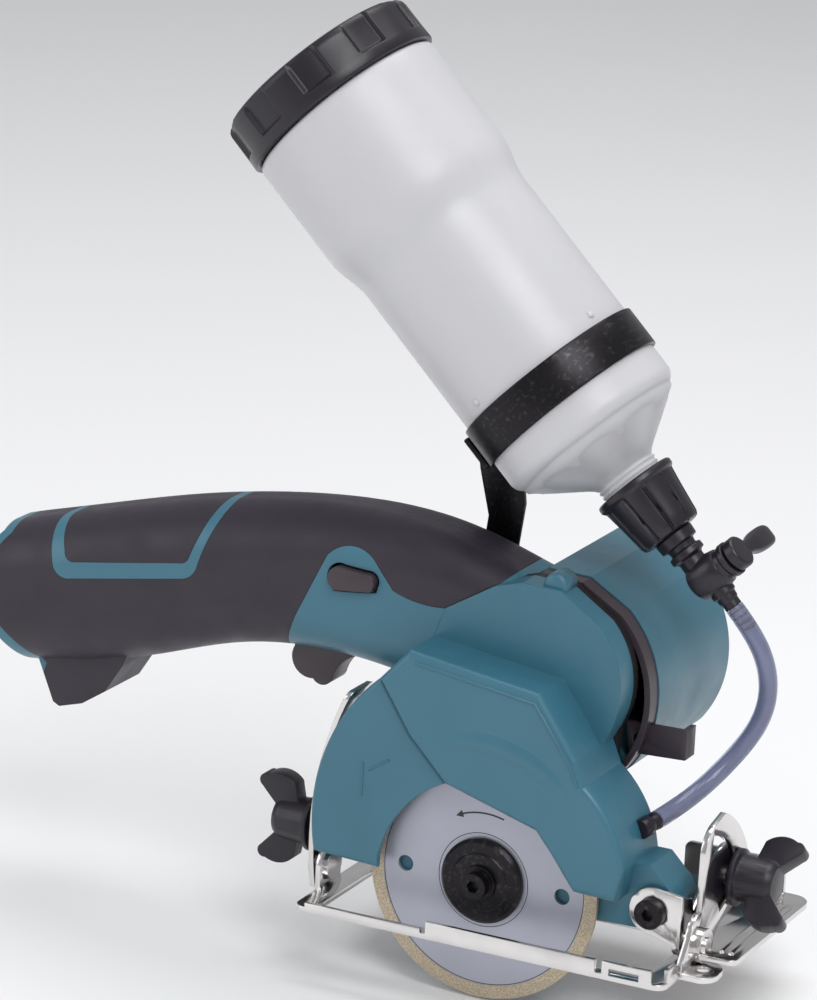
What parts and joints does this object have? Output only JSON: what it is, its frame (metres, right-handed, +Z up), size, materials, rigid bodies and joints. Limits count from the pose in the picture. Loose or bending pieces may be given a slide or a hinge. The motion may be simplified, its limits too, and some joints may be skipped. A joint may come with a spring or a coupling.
{
  "type": "wet tile saw",
  "caption": "Cordless hand-held wet tile saw with a geared diamond blade, curved grip, tilting base, and a slanted water bottle with valve and hose.",
  "frame": {"origin": "centre of the guide hole in the front tab of the sole, at the sole's underside, in the plane of the blade", "axes": "+X is the cutting direction, +Y runs from the blade to the motor, +Z is up from the sole"},
  "size_m": [0.3089, 0.114, 0.3294],
  "materials": {
    "teal_housing": "fine moulded texture",
    "purple_rubber": "soft satin",
    "dark_band": "satin",
    "black_fittings": "satin moulded",
    "chromed_sheet": "bright plated",
    "blade_steel": "ground",
    "diamond_rim": "sintered grit",
    "black_steel": "black oxide",
    "gear_steel": "machined",
    "cover_alloy": "cast, black coated",
    "magnet_ferrite": "sintered",
    "copper_winding": "enamelled wire",
    "inner_plastic": "moulded",
    "milky_bottle": "translucent polyethylene",
    "clear_hose": "clear vinyl",
    "seal_rubber": "soft"
  },
  "bodies": {
    "saw_body": {"gear_case": "teal_housing", "blade_case": "teal_housing", "gear_cover": "cover_alloy", "housing_screws": "black_steel", "bearings": "gear_steel", "fixed_pins": "gear_steel", "motor_can": "gear_steel", "motor_magnets": "magnet_ferrite", "motor_bearing_seats": "cover_alloy", "brushes": "magnet_ferrite", "brush_holder": "inner_plastic", "motor_housing": "teal_housing", "housing_band": "dark_band", "housing_near": "teal_housing", "housing_far": "teal_housing", "grip_near": "purple_rubber", "grip_far": "purple_rubber", "switch_body": "dark_band", "terminal_block": "inner_plastic", "depth_screw": "black_steel", "depth_stud": "chromed_sheet", "tank_bottle": "milky_bottle", "tank_strap": "black_steel", "tank_arm": "black_steel", "neck_cap": "black_fittings", "valve_body": "black_fittings", "water_nozzle": "black_fittings", "hose": "clear_hose", "hose_guard": "dark_band"},
    "blade_group": {"blade": "blade_steel", "diamond_rim": "diamond_rim", "outer_flange": "black_steel", "inner_flange": "gear_steel", "spindle": "gear_steel", "blade_bolt": "black_steel", "spindle_gear": "gear_steel"},
    "idler": {"idler_gear": "gear_steel"},
    "first_stage": {"first_gear": "gear_steel", "first_shaft": "gear_steel", "second_pinion": "gear_steel"},
    "armature": {"motor_pinion": "gear_steel", "motor_shaft": "gear_steel", "armature_core": "gear_steel", "armature_coils": "copper_winding", "commutator": "copper_winding", "cooling_fan": "inner_plastic"},
    "trigger": {"trigger": "dark_band"},
    "lock_button": {"lock_button": "dark_band"},
    "depth_frame": {"front_bracket": "chromed_sheet", "bracket_boss": "black_fittings", "depth_guide": "chromed_sheet", "bevel_stud": "chromed_sheet"},
    "base": {"base": "chromed_sheet", "bevel_plate": "chromed_sheet", "bevel_rivets": "chromed_sheet"},
    "depth_knob": {"depth_knob": "black_fittings"},
    "bevel_knob": {"bevel_knob": "black_fittings"},
    "valve_lever": {"valve_lever": "black_fittings"},
    "filler_cap": {"filler_cap": "black_fittings", "filler_seal": "seal_rubber"}
  },
  "joints": [
    {"name": "blade_spin", "type": "hinge", "parent": "saw_body", "child": "blade_group", "pos_m": [-0.082, 0, 0.017], "axis": [0, 1, 0], "continuous": true},
    {"name": "idler_spin", "type": "hinge", "parent": "saw_body", "child": "idler", "pos_m": [-0.0923, 0.014, 0.04517], "axis": [0, 1, 0], "continuous": true},
    {"name": "first_spin", "type": "hinge", "parent": "saw_body", "child": "first_stage", "pos_m": [-0.0733, 0.012, 0.05983], "axis": [0, 1, 0], "continuous": true},
    {"name": "motor_spin", "type": "hinge", "parent": "saw_body", "child": "armature", "pos_m": [-0.069, 0.05, 0.081], "axis": [0, 1, 0], "continuous": true},
    {"name": "trigger_pull", "type": "hinge", "parent": "saw_body", "child": "trigger", "pos_m": [-0.1455, 0.03, 0.084], "axis": [0, 1, 0], "range_deg": [0, 8], "stiffness_Nm_per_rad": 0.3, "springref_deg": -6.88},
    {"name": "lock_slide", "type": "slide", "parent": "saw_body", "child": "lock_button", "axis": [0, 1, 0], "range_m": [0, 0.003], "stiffness_N_per_m": 300, "springref_m": -0.001},
    {"name": "depth_pivot", "type": "hinge", "parent": "saw_body", "child": "depth_frame", "pos_m": [-0.019, 0, 0.019], "axis": [0, -1, 0], "range_deg": [0, 20]},
    {"name": "bevel_pivot", "type": "hinge", "parent": "depth_frame", "child": "base", "pos_m": [-0.072, 0.006, 0.008], "axis": [-1, 0, 0], "range_deg": [0, 45]},
    {"name": "depth_knob_turn", "type": "hinge", "parent": "saw_body", "child": "depth_knob", "pos_m": [-0.152, 0.008, 0.021], "axis": [-1, 0, 0], "range_deg": [0, 180]},
    {"name": "bevel_knob_turn", "type": "hinge", "parent": "depth_frame", "child": "bevel_knob", "pos_m": [-0.002, 0.0354, 0.02298], "axis": [1, 0, 0], "range_deg": [0, 180]},
    {"name": "valve_turn", "type": "hinge", "parent": "saw_body", "child": "valve_lever", "pos_m": [-0.0245, 0.04476, 0.12418], "axis": [-0.7071, 0, -0.7071], "range_deg": [0, 90]},
    {"name": "cap_turn", "type": "hinge", "parent": "saw_body", "child": "filler_cap", "pos_m": [-0.17674, 0.045, 0.27324], "axis": [-0.7071, 0, 0.7071], "range_deg": [0, 360]}
  ],
  "couplings": [
    {"joint": "idler_spin", "follows": "blade_spin", "ratio": -0.66667},
    {"joint": "first_spin", "follows": "blade_spin", "ratio": 2},
    {"joint": "motor_spin", "follows": "blade_spin", "ratio": -10}
  ]
}
